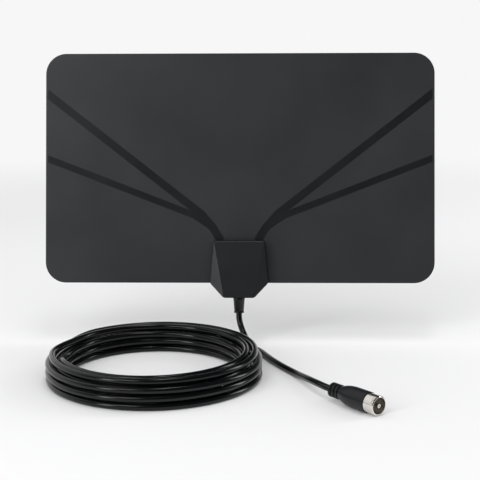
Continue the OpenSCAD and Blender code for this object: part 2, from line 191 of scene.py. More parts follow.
@dataclass(frozen=True)
class Finish:
    """A surface finish: what the thing is made of and how its surface was made."""

    name: str
    colour: str
    second_colour: str
    roughness: float
    roughness_spread: float = 0.06
    metallic: float = 0.0
    ior: float = 1.5
    grain_mm: float = 1.0
    grain_depth_mm: float = 0.01
    blotch_mm: float = 30.0
    pattern: Pattern = Pattern.SPECKLE

    def material(self) -> bpy.types.Material:
        """Builds the material.

        Returns:
            A node material that reads object coordinates.
        """
        made = bpy.data.materials.new(self.name)
        tree = fresh_tree(made)
        coords = add_node(tree, "ShaderNodeTexCoord").outputs["Object"]
        blotch = noise(tree, coords, self.blotch_mm, detail=3.0, roughness=0.55)
        grain = noise(tree, coords, self.grain_mm)
        tone = add_node(tree, "ShaderNodeMix",
                        {"A": hex_colour(self.colour), "B": hex_colour(self.second_colour)},
                        {"Factor": remapped(tree, blotch, 0.3, 0.7, kind="LINEAR")},
                        data_type="RGBA")
        rough = remapped(tree, grain if self.pattern == Pattern.SPECKLE else blotch, 0.25, 0.75,
                         self.roughness - self.roughness_spread,
                         self.roughness + self.roughness_spread, "LINEAR")
        bump = add_node(tree, "ShaderNodeBump",
                        {"Strength": 1.0, "Distance": self.grain_depth_mm * MM},
                        {"Height": self.relief(tree, coords, grain)})
        shader = add_node(tree, "ShaderNodeBsdfPrincipled",
                          {"Metallic": self.metallic, "IOR": self.ior},
                          {"Base Color": tone.outputs[2], "Roughness": rough,
                           "Normal": bump.outputs["Normal"]})
        add_node(tree, "ShaderNodeOutputMaterial", None, {"Surface": shader.outputs["BSDF"]})
        return made

    def relief(self, tree: Tree, coords: Socket, grain: Socket) -> Socket:
        """Gives the height that the bump follows.

        Args:
            tree: The material's node tree.
            coords: Object coordinates.
            grain: The fine noise.

        Returns:
            The socket with the height.
        """
        if self.pattern == Pattern.SPECKLE:
            return grain
        wide = noise(tree, coords, WAVE_WIDTH * self.grain_mm)
        waves = add_node(tree, "ShaderNodeMath", {1: WAVE_HEIGHT}, {0: wide}, operation="MULTIPLY")
        return combined(tree, "ADD", waves.outputs[0], grain)


# Calendered polyester film with a satin face: a broad soft sheen and faint waviness
SATIN_FILM = Finish("satin_polyester_film", "242629", "2a2c2f", 0.4, 0.03, grain_mm=9.0,
                    grain_depth_mm=0.02, blotch_mm=60.0, pattern=Pattern.MOTTLE)
# The same film where it lies over foil: darker and smoother
FOIL_BAND = Finish("film_over_foil", "111316", "16181b", 0.31, 0.03, grain_mm=6.0,
                   grain_depth_mm=0.01, blotch_mm=40.0, pattern=Pattern.MOTTLE)
# Plain matt polyester film on the back
MATT_FILM = Finish("matt_polyester_film", "222326", "27282b", 0.6, 0.04, grain_mm=2.0,
                   grain_depth_mm=0.01, blotch_mm=50.0, pattern=Pattern.MOTTLE)
# Injection moulded ABS with a fine spark texture: even, low sheen
MOULDED_ABS = Finish("moulded_abs", "18191c", "1d1e21", 0.34, 0.05, grain_mm=0.5,
                     grain_depth_mm=0.008, blotch_mm=18.0)
# Extruded flexible vinyl: black and glossy with long soft highlights
VINYL_JACKET = Finish("extruded_vinyl", "060708", "0a0b0c", 0.18, 0.008, ior=1.38, grain_mm=1.2,
                      grain_depth_mm=0.002, blotch_mm=25.0)
# Moulded vinyl of the strain relief, a little softer in sheen than the cable
RELIEF_VINYL = Finish("moulded_vinyl", "090a0b", "0d0e0f", 0.2, 0.01, ior=1.4, grain_mm=0.8,
                      grain_depth_mm=0.004, blotch_mm=12.0)
# Matt moulded vinyl of the connector's grip
GRIP_VINYL = Finish("matt_moulded_vinyl", "0e0f11", "131416", 0.36, 0.05, ior=1.38, grain_mm=0.6,
                    grain_depth_mm=0.01, blotch_mm=10.0)
# Nickel plated turned brass: bright, with a faint fine grain
NICKEL_PLATE = Finish("nickel_plated_brass", "ebe8e2", "dedad3", 0.18, 0.05, metallic=1.0,
                      grain_mm=0.4, grain_depth_mm=0.002, blotch_mm=6.0)
# Moulded acetal of the insulator, a warm grey
ACETAL = Finish("moulded_acetal", "9c968d", "a59f96", 0.45, grain_mm=0.6, blotch_mm=6.0)
# Black adhesive foam of the seal ring. Its dark edge beside the box's top is painted shade: a black
# strip put where the contact shade falls
SEAL_FOAM_SHADE = Finish("seal_foam_painted_shade", "0b0b0c", "111112", 0.85, grain_mm=0.4, grain_depth_mm=0.05)
# Zinc plated steel of the screws
ZINC_STEEL = Finish("zinc_plated_steel", "9d9fa2", "8d8f93", 0.35, metallic=1.0, grain_mm=0.5,
                    grain_depth_mm=0.004, blotch_mm=4.0)
# Rolled aluminium foil of the dipole
ROLLED_FOIL = Finish("rolled_aluminium_foil", "c3c6c9", "b4b8bb", 0.3, metallic=1.0, grain_mm=2.0,
                     grain_depth_mm=0.01)
# Glass fibre board under green solder mask
SOLDER_MASK = Finish("solder_mask_board", "1d5a33", "22643a", 0.35, grain_mm=0.8, blotch_mm=8.0)
# Tin bronze of the contact springs
SPRING_BRONZE = Finish("spring_bronze", "b98a4a", "a97c40", 0.3, metallic=1.0, grain_mm=0.6,
                       grain_depth_mm=0.004)
# Sintered ferrite
FERRITE = Finish("sintered_ferrite", "2e2d2f", "353437", 0.7, grain_mm=0.5, grain_depth_mm=0.03)
# Enamelled copper wire
COPPER_WIRE = Finish("enamelled_copper", "a3552a", "8f4823", 0.25, metallic=1.0, grain_mm=0.5,
                     grain_depth_mm=0.004)
# Fired ceramic of the chip parts
CHIP_CERAMIC = Finish("fired_ceramic", "6e5a40", "7a6549", 0.6, grain_mm=0.4)
# Stamped brass of the crimps
CRIMP_BRASS = Finish("stamped_brass", "a98f55", "9b824b", 0.35, metallic=1.0, grain_mm=0.5,
                     grain_depth_mm=0.004)
# Foamed polyethylene round the centre wire
FOAM_CORE = Finish("foamed_polyethylene", "dcd8cf", "e4e1d9", 0.6, grain_mm=0.4,
                   grain_depth_mm=0.02)


def only(obj: Object) -> None:
    """Makes one object the only selected and the active one."""
    bpy.ops.object.select_all(action="DESELECT")
    obj.select_set(True)
    bpy.context.view_layer.objects.active = obj


@contextmanager
def editing(obj: Object) -> Iterator[None]:
    """Holds one object in edit mode, with all of it selected at the start.

    Args:
        obj: The object to edit. It goes back to object mode at the end.
    """
    only(obj)
    bpy.ops.object.mode_set(mode="EDIT")
    bpy.ops.mesh.select_all(action="SELECT")
    yield
    bpy.ops.object.mode_set(mode="OBJECT")


def pick(obj: Object, kind: str, is_picked: Callable[..., bool]) -> None:
    """Selects some vertices, edges or faces of an object in edit mode, and nothing else.

    Args:
        obj: The object.
        kind: VERT, EDGE or FACE.
        is_picked: Says of a vertex, edge or face of the mesh whether it is selected.
    """
    mesh = obj.data
    bpy.ops.mesh.select_mode(type=kind)
    bpy.ops.mesh.select_all(action="DESELECT")
    bpy.ops.object.mode_set(mode="OBJECT")
    for part in {"VERT": mesh.vertices, "EDGE": mesh.edges, "FACE": mesh.polygons}[kind]:
        part.select = is_picked(part)
    bpy.ops.object.mode_set(mode="EDIT")


def face_outward() -> None:
    """Turns all faces of the object in edit mode outward."""
    bpy.ops.mesh.select_all(action="SELECT")
    bpy.ops.mesh.normals_make_consistent(inside=False)


def drawn(name: str, points: Sequence[Point], closed: bool) -> Object:
    """Makes a mesh of one chain of edges as the start of a piece.

    Args:
        name: The piece's name.
        points: The chain's points.
        closed: Whether the chain is a closed outline, which is then filled.

    Returns:
        The object.
    """
    mesh = bpy.data.meshes.new(name)
    count = len(points)
    edges = [(i, (i + 1) % count) for i in range(count if closed else count - 1)]
    mesh.from_pydata([Vector(p) * MM for p in points], edges, [])
    obj = bpy.data.objects.new(name, mesh)
    bpy.context.scene.collection.objects.link(obj)
    if closed:
        with editing(obj):
            bpy.ops.mesh.edge_face_add()
    return obj


def turned(name: str, profile: Sequence[Pair], steps: int = 96) -> Object:
    """Spins a profile about the upright axis.

    Args:
        name: The piece's name.
        profile: Radius and height of each point, from one end to the other.
        steps: Number of steps in the full turn.

    Returns:
        The spun and closed object.
    """
    obj = drawn(name, [(r, 0.0, z) for r, z in profile], closed=False)
    with editing(obj):
        bpy.ops.mesh.spin(steps=steps, angle=2 * math.pi, center=(0, 0, 0), axis=(0, 0, 1))
        bpy.ops.mesh.select_all(action="SELECT")
        bpy.ops.mesh.remove_doubles(threshold=WELD)
        face_outward()
    return obj


def extruded(obj: Object, step: Point) -> None:
    """Pulls the whole flat face of an object out into a solid.

    Args:
        obj: The object with one flat face.
        step: The way to pull.
    """
    with editing(obj):
        bpy.ops.mesh.extrude_region_move(TRANSFORM_OT_translate={"value": Vector(step) * MM})
        face_outward()


def cuboid(centre: Point, size: Point) -> Object:
    """Makes a closed cuboid.

    Args:
        centre: Its middle.
        size: Its size across, in depth and up.

    Returns:
        The object.
    """
    bpy.ops.object.select_all(action="DESELECT")
    bpy.ops.mesh.primitive_cube_add(size=1.0)
    block = bpy.context.object
    block.data.transform(Matrix.Translation([v * MM for v in centre])
                         @ Matrix.Diagonal([*(v * MM for v in size), 1]))
    return block


def combine(obj: Object, other: Object, operation: str) -> None:
    """Cuts one shape out of another or joins the two, and removes the second.

    Args:
        obj: The object that is changed.
        other: The closed shape to take away or add.
        operation: DIFFERENCE or UNION.
    """
    only(obj)
    boolean = obj.modifiers.new("boolean", "BOOLEAN")
    boolean.operation = operation
    boolean.solver = "EXACT"
    boolean.object = other
    bpy.ops.object.modifier_apply(modifier=boolean.name)
    bpy.data.objects.remove(other)


def finish_piece(obj: Object, place: Matrix, finish: Finish,
                 replaces: Iterable[str] = ()) -> Object:
    """Puts a piece in its place, dresses it and tells the frame about it.

    Args:
        obj: The modelled piece, drawn at the origin.
        place: Where it goes.
        finish: Its surface finish.
        replaces: CAD nodes that it stands for.

    Returns:
        The same piece.
    """
    obj.data.transform(place)
    only(obj)
    bpy.ops.object.shade_smooth_by_angle(angle=math.radians(SMOOTH_ANGLE))
    weighted = obj.modifiers.new("weighted", "WEIGHTED_NORMAL")
    weighted.keep_sharp = True
    bpy.ops.object.modifier_apply(modifier=weighted.name)
    obj.data.materials.clear()
    obj.data.materials.append(finish.material())
    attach(obj, "root")
    for node in replaces:
        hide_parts(node)
    log.info("%s: %d faces", obj.name, len(obj.data.polygons))
    return obj


@dataclass
class Photographer:
    """The camera, at the photograph's place and angle."""

    lens_mm: float = 84.0
    sensor_mm: float = 36.0
    place_m: Point = (0.02105, -0.75706, 0.09241)
    azimuth: float = 1.58
    pitch: float = 10.63
    roll: float = -0.24
    nearest_m: float = 0.01
    farthest_m: float = 50.0

    def build(self) -> None:
        """Adds the camera and makes it the scene's own."""
        a, p, r = (math.radians(v) for v in (self.azimuth, self.pitch, self.roll))
        ahead = Vector((-math.sin(a) * math.cos(p), math.cos(a) * math.cos(p), -math.sin(p)))
        level = Vector((math.cos(a), math.sin(a), 0.0))
        upward = level.cross(ahead)
        right = math.cos(r) * level + math.sin(r) * upward
        up = math.cos(r) * upward - math.sin(r) * level
        bpy.ops.object.camera_add()
        camera = bpy.context.object
        camera.name = "camera"
        turn = Matrix((right, up, -ahead)).transposed().to_4x4()
        camera.matrix_world = Matrix.Translation(self.place_m) @ turn
        camera.data.lens = self.lens_mm
        camera.data.sensor_width = self.sensor_mm
        camera.data.clip_start = self.nearest_m
        camera.data.clip_end = self.farthest_m
        bpy.context.scene.camera = camera


@dataclass
class Lead:
    """The coaxial lead: from the strain relief into the coil and out to the connector."""

    diameter: float = 4.0
    coil_at: Pair = (-50.0, -99.0)
    join_angle: float = 6.0
    leave_angle: float = 84.0
    full_turns: int = 10
    steps_per_turn: int = 90
    span_steps: int = 6
    section_steps: int = 6
    # Small waves of the turns across and up, which begin and end over the ease angle. The start
    # of the first is in radians
    wobble: float = 0.3
    wobble_rate: float = 1.13
    wobble_start: float = 0.4
    lift: float = 0.2
    lift_rate: float = 1.71
    ease: float = 60.0
    # The loose stretches, before the coil and after it
    exit_mm: Point = (0.0, -24.785, -95.016)
    drop: tuple[Point, ...] = (
        (0.0, -25.13, -96.78), (0.2, -25.8, -99.2), (1.0, -27.3, -102.5), (2.2, -29.7, -105.4),
        (3.6, -32.8, -107.8), (5.1, -36.6, -109.4), (6.6, -41.2, -109.9), (8.2, -48.0, -109.9),
        (9.9, -55.8, -110.0), (11.3, -63.7, -110.0), (12.5, -71.6, -110.0), (13.3, -80.0, -109.8),
    )
    tail: tuple[Point, ...] = (
        (-29.0, -36.6, -114.0), (-14.0, -38.0, -114.0), (-1.5, -39.5, -114.0),
        (5.0, -41.5, -114.0), (9.2, -44.3, -114.0), (12.4, -48.0, -114.0), (14.9, -52.4, -114.0),
        (17.3, -58.2, -114.0), (20.2, -65.8, -114.0), (23.4, -73.4, -114.0),
        (29.6, -86.2, -114.0), (35.6, -97.2, -113.9), (38.5, -103.8, -113.4),
        (41.3, -111.2, -112.4), (44.0, -118.8, -111.4), (46.9, -126.0, -110.6),
        (50.0, -132.5, -110.1),
    )
    # Radius of each turn and height of its middle over the ground, in the order of travel
    slots: tuple[Pair, ...] = (
        (64.0, 6.67), (64.0, 11.33), (61.5, 16.0), (56.5, 16.0), (54.0, 11.33), (54.0, 6.67),
        (54.0, 2.0), (59.0, 2.0), (59.0, 6.67), (59.0, 11.33), (64.0, 6.67), (64.0, 2.0),
    )
    # Degrees travelled at each change to the next slot, at the back or under other turns, and
    # how long before and after it the change begins and ends
    shift_at: tuple[float, ...] = (
        300.0, 575.0, 915.0, 1255.0, 1540.0, 1885.0, 2230.0, 2580.0, 2895.0, 3200.0, 3225.0,
    )
    shift_half: float = 17.0
    length_mm: float = 0.0

    def travel(self) -> float:
        """Gives the whole angle that the lead turns in the coil."""
        return 360.0 * self.full_turns - (self.leave_angle - self.join_angle)

    def shift_share(self, travelled: float, middle: float) -> float:
        """Says how far the lead has moved from one slot to the next.

        Args:
            travelled: Degrees travelled since the coil began.
            middle: Degrees travelled at the middle of the change.

        Returns:
            A share from 0 to 1.
        """
        share = (travelled - middle + self.shift_half) / (2 * self.shift_half)
        share = min(max(share, 0.0), 1.0)
        return share * share * (3 - 2 * share)

    def coil_point(self, travelled: float) -> Point:
        """Gives the lead's middle at an angle of travel in the coil.

        Args:
            travelled: Degrees travelled since the coil began.

        Returns:
            The point.
        """
        radius, height = self.slots[0]
        for before, after, middle in zip(self.slots, self.slots[1:], self.shift_at):
            share = self.shift_share(travelled, middle)
            radius += (after[0] - before[0]) * share
            height += (after[1] - before[1]) * share
        angle = math.radians(self.join_angle - travelled)
        ends = min(travelled, self.travel() - travelled, self.ease) / self.ease
        drift = math.radians(travelled)
        radius += self.wobble * ends * math.sin(self.wobble_rate * drift + self.wobble_start)
        if height > self.diameter:
            height += self.lift * ends * math.sin(self.lift_rate * drift)
        return (self.coil_at[0] + radius * math.cos(angle),
                self.coil_at[1] + radius * math.sin(angle), GROUND + height)

    def route(self, mouth_end: Sequence[Point]) -> list[Point]:
        """Gives the whole middle line.

        Args:
            mouth_end: The last points, straight into the connector.

        Returns:
            The points, evenly smooth.
        """
        count = round(self.travel() / 360.0 * self.steps_per_turn)
        coil = [self.coil_point(self.travel() * i / count) for i in range(count + 1)]
        before = smooth([self.exit_mm, *self.drop, coil[0], coil[2]], self.span_steps)
        after = smooth([coil[-3], coil[-1], *self.tail, *mouth_end], self.span_steps)
        return [*before[: -self.span_steps], *coil[1:], *after[self.span_steps + 1 :]]

    def build(self, mouth_end: Sequence[Point]) -> Object:
        """Makes the lead as one smooth curve with a round section.

        Args:
            mouth_end: The last points, straight into the connector.

        Returns:
            The curve object.
        """
        points = self.route(mouth_end)
        curve = bpy.data.curves.new("lead", "CURVE")
        curve.dimensions = "3D"
        curve.bevel_depth = self.diameter / 2 * MM
        curve.bevel_resolution = self.section_steps
        curve.use_fill_caps = True
        spline = curve.splines.new("POLY")
        spline.points.add(len(points) - 1)
        for place, point in zip(spline.points, points):
            place.co = (*(Vector(point) * MM), 1.0)
        spline.use_smooth = True
        obj = bpy.data.objects.new("lead", curve)
        bpy.context.scene.collection.objects.link(obj)
        curve.materials.append(VINYL_JACKET.material())
        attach(obj, "root")
        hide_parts("cable_drop", "cable_coil", "cable_tail")
        self.length_mm = sum((Vector(b) - Vector(a)).length for a, b in zip(points, points[1:]))
        log.info("lead: %.0f mm long, %d points", self.length_mm, len(points))
        return obj

    def declare(self) -> None:
        tuple(v * MM for v in self.exit_mm)


def smooth(points: Sequence[Point], steps: int) -> list[Point]:
    """Runs a smooth curve through all points.

    Args:
        points: The points to pass.
        steps: Number of points on each span.

    Returns:
        The denser points.
    """
    ring = [Vector(p) for p in points]
    ring = [2 * ring[0] - ring[1], *ring, 2 * ring[-1] - ring[-2]]
    dense = []
    for a, b, c, d in zip(ring, ring[1:], ring[2:], ring[3:]):
        reach = (c - b).length
        leaving, arriving = (c - a).normalized() * reach, (d - b).normalized() * reach
        for i in range(steps):
            t = i / steps
            near = (1 + 2 * t) * b + t * leaving
            far = (3 - 2 * t) * c - (1 - t) * arriving
            dense.append(tuple((1 - t) ** 2 * near + t * t * far))
    dense.append(tuple(ring[-2]))
    return dense


@dataclass
class SheetPanel:
    """The laminated sheet with the bands that its front film forms over the foil."""

    width: float = 264.0
    height: float = 156.0
    corner: float = 14.0
    corner_steps: int = 16
    back: float = 0.5
    front: float = 1.1
    # Width of the soft rim, and the share of it by which its outer line drops
    rim: float = 0.25
    rim_share: float = 0.6
    # Corners across and up of the notch for the box, and how far its cutter reaches
    notch_corners: tuple[Pair, ...] = ((-14.8, -52.0), (14.8, -52.0), (17.2, -78.5), (-17.2, -78.5))
    notch_reach: float = 5.0
    band_height: float = 0.15
    band_root: float = 0.1
    upper_width: float = 5.2
    lower_width: float = 4.4
    stem_width: float = 5.4
    # How far inside the sheet's edge the bands end, and the size of what cuts them off there
    arm_margin: float = 1.6
    trim_reach: float = 30.0

    def build(self) -> None:
        """Builds the front film and the bands over the foil."""
        self.film()
        self.bands()

    def film(self) -> None:
        """Models the front film with rounded corners, a soft rim and the notch for the box."""
        bpy.ops.object.select_all(action="DESELECT")
        bpy.ops.mesh.primitive_plane_add(size=1.0)
        film = bpy.context.object
        film.name = "front_laminate"
        film.data.name = film.name
        to_wall = Matrix.Rotation(math.radians(90), 4, "X")
        film.data.transform(to_wall @ Matrix.Diagonal((self.width * MM, self.height * MM, 1, 1)))
        with editing(film):
            bpy.ops.mesh.bevel(offset=self.corner * MM, segments=self.corner_steps,
                               affect="VERTICES")
        film.data.transform(Matrix.Translation((0, -self.back * MM, 0)))
        extruded(film, (0, self.back - self.front, 0))
        with editing(film):
            pick(film, "FACE", lambda face: abs(face.center.y + self.front * MM) < WELD)
            bpy.ops.mesh.inset(thickness=self.rim * MM, depth=0.0)
            bpy.ops.mesh.inset(thickness=self.rim * MM, depth=0.0)
        self.drop_rim(film)
        combine(film, self.notch(), "DIFFERENCE")
        finish_piece(film, LEAN, SATIN_FILM, ["front_film"])

    def drop_rim(self, film: Object) -> None:
        """Lowers the outer line of the front face, which rounds the rim.

        Args:
            film: The film.
        """
        half_rim = self.rim / 2
        for vertex in film.data.vertices:
            if abs(vertex.co.y + self.front * MM) > WELD:
                continue
            x, z = abs(vertex.co.x), abs(vertex.co.z)
            corner = Vector((max(x - (self.width / 2 - self.corner) * MM, 0),
                             max(z - (self.height / 2 - self.corner) * MM, 0)))
            beside = x > (self.width / 2 - half_rim) * MM or z > (self.height / 2 - half_rim) * MM
            if beside or corner.length > (self.corner - half_rim) * MM:
                vertex.co.y += self.rim_share * self.rim * MM

    def notch(self) -> Object:
        """Makes the cutter for the place where the box passes through the film."""
        cutter = drawn("notch", [(x, 0.0, z) for x, z in self.notch_corners], closed=True)
        cutter.data.transform(Matrix.Translation((0, self.notch_reach * MM, 0)))
        extruded(cutter, (0, -2 * self.notch_reach, 0))
        return cutter

    def bands(self) -> None:
        """Models the low bands that the film forms over the foil arms, cut off at both ends."""
        end = self.width / 2
        fork, branch, knee = (26.4, -30.8), (30.4, -32.2), (18.0, -40.4)
        top, foot = (13.4, -47.8), (12.9, -49.6)
        routes = (
            ([(end, 51.5), fork, knee], self.upper_width),
            ([(end, 7.0), branch, knee], self.lower_width),
            ([fork, knee, top, foot], self.stem_width),
        )
        strips = []
        for side in (1, -1):
            for route, width in routes:
                strips.append(self.strip([(side * x, z) for x, z in route], width))
        bands = strips[0]
        for other in strips[1:]:
            combine(bands, other, "UNION")
        bands.name = "foil_bands"
        bands.data.name = bands.name
        middle = end - self.arm_margin + self.trim_reach / 2
        for side in (1, -1):
            cutter = cuboid((side * middle, 0, 0), (self.trim_reach, self.trim_reach, self.height))
            combine(bands, cutter, "DIFFERENCE")
        finish_piece(bands, LEAN, FOIL_BAND)

    def strip(self, route: Sequence[Pair], width: float) -> Object:
        """Models one straight-sided band with mitred bends.

        Args:
            route: Its middle line, across and up.
            width: Its width.

        Returns:
            The band as a closed solid.
        """
        points = [Vector(p) for p in route]
        left, right = [], []
        for i, point in enumerate(points):
            into = (point - points[i - 1]).normalized() if i else (points[1] - point).normalized()
            is_last = i == len(points) - 1
            out = into if is_last else (points[i + 1] - point).normalized()
            normal = Vector((-(into.y + out.y), into.x + out.x)).normalized()
            reach = width / 2 / normal.dot(Vector((-into.y, into.x)))
            left.append(point + normal * reach)
            right.append(point - normal * reach)
        depth = self.front - self.band_root
        outline = [(p.x, -depth, p.y) for p in [*left, *reversed(right)]]
        band = drawn("band", outline, closed=True)
        extruded(band, (0, -(self.band_root + self.band_height), 0))
        return band


@dataclass
class JunctionBox:
    """The faceted front shell of the box on the sheet's lower edge."""

    half_top: float = 17.1
    half_wide: float = 19.6
    half_bottom: float = 10.3
    top: float = -49.7
    bottom: float = BOX_BOTTOM
    thin: float = 7.6
    thick: float = 12.6
    wall: float = 1.5
    # Share of the shrinking that the lower corners take, because the sides slant there
    slant: float = 0.4
    # Widths of the rounding at the corners, round the front and on the two creases
    corner: float = 1.2
    edge: float = 0.5
    crease: float = 0.3
    seat_depth: float = 1.5
    seat_gap: float = 0.2
    hole_radius: float = 3.5
    hole_length: float = 4.0
    # Slack of the tests that find the front, the widest corners and the ends of a crease
    slack: float = 1.0
    knee_slack: float = 3.0
    crease_slack: float = 4.0

    def outline(self, shrink: float = 0.0) -> list[Pair]:
        """Gives the six corners across and up, going round.

        Args:
            shrink: How much smaller the outline is.
        """
        low_shrink = self.slant * shrink
        a, b, c = self.half_top - shrink, self.half_wide - shrink, self.half_bottom - low_shrink
        top, middle, low = self.top - shrink, SHEET_BOTTOM + low_shrink, self.bottom + shrink
        return [(-a, top), (a, top), (b, middle), (c, low), (-c, low), (-b, middle)]

    def build(self) -> None:
        """Models the shell: outline, pull forward, slope the front, soften, hollow, seat."""
        shell = self.form("box_shell", 0.0)
        self.soften(shell)
        for cutter in (self.form("hollow", self.wall, -0.5), self.seat(), self.lead_hole()):
            combine(shell, cutter, "DIFFERENCE")
        finish_piece(shell, LEAN, MOULDED_ABS, ["housing_front"])

    def form(self, name: str, shrink: float, back: float = 0.0) -> Object:
        """Models the closed faceted block.

        Args:
            name: Name of the block.
            shrink: How much smaller it is than the box, all round and at the front.
            back: Depth of its back face.

        Returns:
            The block.
        """
        block = drawn(name, [(x, -back, z) for x, z in self.outline(shrink)], closed=True)
        extruded(block, (0, -(self.thin - shrink - back), 0))

        def is_front(vertex: bpy.types.MeshVertex) -> bool:
            return vertex.co.y < -(back + self.slack) * MM

        def is_beside(vertex: bpy.types.MeshVertex, side: int) -> bool:
            is_off_knee = abs(vertex.co.z - SHEET_BOTTOM * MM) > self.knee_slack * MM
            return vertex.co.x * side > 0 and is_off_knee

        for vertex in block.data.vertices:
            if is_front(vertex) and vertex.co.z < (self.bottom + self.wall + self.slack) * MM:
                vertex.co.y = -(self.thick - shrink) * MM
        with editing(block):
            for side in (-1, 1):
                pick(block, "VERT", lambda vertex: is_front(vertex) and is_beside(vertex, side))
                bpy.ops.mesh.vert_connect_path()
            face_outward()
        return block

    def soften(self, shell: Object) -> None:
        """Rounds the corners, chamfers the front rim and rounds the two creases.

        Args:
            shell: The closed block.
        """
        self.round_edges(shell, self.is_corner, self.corner, 4)
        self.round_edges(shell, self.rim_test(shell), self.edge, 2, 0.35)
        self.round_edges(shell, self.is_crease, self.crease, 2)

    def round_edges(self, shell: Object, test: Callable[[Vector, Vector], bool],
                    width: float, segments: int, profile: float = 0.5) -> None:
        """Bevels the edges that pass a test.

        Args:
            shell: The block.
            test: Says of an edge's two ends whether it is one of them.
            width: Bevel width.
            segments: Number of steps in the bevel.
            profile: Its fullness: 0.5 is round, less is flatter and keeps flat facets.
        """
        def is_picked(edge: bpy.types.MeshEdge) -> bool:
            return test(*(shell.data.vertices[i].co / MM for i in edge.vertices))

        with editing(shell):
            pick(shell, "EDGE", is_picked)
            bpy.ops.mesh.bevel(offset=width * MM, segments=segments, profile=profile,
                               affect="EDGES", clamp_overlap=True)
            if profile < 0.5:
                bpy.ops.mesh.mark_sharp()

    def is_corner(self, a: Vector, b: Vector) -> bool:
        """Says whether two points lie one behind the other, as at the ends of a corner's edge."""
        return abs(a.x - b.x) < SAME_PLACE and abs(a.z - b.z) < SAME_PLACE

    def is_crease(self, a: Vector, b: Vector) -> bool:
        """Says whether an edge is one of the two creases of the front."""
        high, low = max(a.z, b.z), min(a.z, b.z)
        is_long = high > self.top - self.crease_slack and low < self.bottom + self.crease_slack
        return is_long and max(a.y, b.y) < -(self.thin - 2 * self.slack)

    def rim_test(self, shell: Object) -> Callable[[Vector, Vector], bool]:
        """Makes the test for the edges that go round the front.

        Args:
            shell: The block with its corners rounded.

        Returns:
            A function that says of an edge's two ends whether both lie over the back's outline.
        """
        back = [v.co / MM for v in shell.data.vertices if v.co.y > -SAME_PLACE * MM]

        def is_over_back(p: Vector) -> bool:
            return any(self.is_corner(p, v) for v in back)

        def is_on_rim(a: Vector, b: Vector) -> bool:
            is_front = max(a.y, b.y) < -self.slack and not self.is_crease(a, b)
            return is_front and is_over_back(a) and is_over_back(b)

        return is_on_rim

    def seat(self) -> Object:
        """Makes the cutter that seats the shell on the sheet above the sheet's lower edge."""
        low, high = SHEET_BOTTOM - self.seat_gap, self.top + 10.0
        depth = self.seat_depth + 1.0
        return cuboid((0, -self.seat_depth + depth / 2, (low + high) / 2), (100, depth, high - low))

    def lead_hole(self) -> Object:
        """Makes the cutter for the hole that the strain relief's neck goes through."""
        bpy.ops.object.select_all(action="DESELECT")
        bpy.ops.mesh.primitive_cylinder_add(vertices=48, radius=self.hole_radius * MM,
                                            depth=self.hole_length * MM)
        cutter = bpy.context.object
        cutter.data.transform(Matrix.Translation((0, -LEAD_DEPTH * MM, self.bottom * MM)))
        return cutter


@dataclass
class StrainRelief:
    """The tapered vinyl boot under the box, with its neck and its flange inside the box."""

    length: float = 10.3
    top_radius: float = 4.0
    end_radius: float = 3.3
    neck_radius: float = 3.4
    neck_length: float = 1.5
    flange_radius: float = 4.5
    flange_length: float = 1.2

    def build(self) -> None:
        """Spins the boot from its bored foot up to its flange."""
        foot, top = BOX_BOTTOM - self.length, BOX_BOTTOM
        flange = top + self.neck_length
        end, wide = self.end_radius, self.top_radius
        profile = [
            (LEAD_BORE, foot + 0.2), (LEAD_BORE + 0.2, foot), (end - 0.15, foot),
            (end + 0.1, foot + 0.25), (end + 0.1, foot + 1.0), (end - 0.1, foot + 1.3),
            (end + 0.05, foot + 3.0), (wide - 0.25, top - 2.0), (wide, top - 0.6),
            (wide - 0.2, top), (self.neck_radius, top), (self.neck_radius, flange),
            (self.flange_radius, flange), (self.flange_radius, flange + self.flange_length),
            (LEAD_BORE, flange + self.flange_length), (LEAD_BORE, foot + 0.2),
        ]
        boot = turned("strain_relief_boot", profile)
        boot.data.transform(Matrix.Translation((0, -LEAD_DEPTH * MM, 0)))
        finish_piece(boot, LEAN, RELIEF_VINYL, ["strain_relief"])


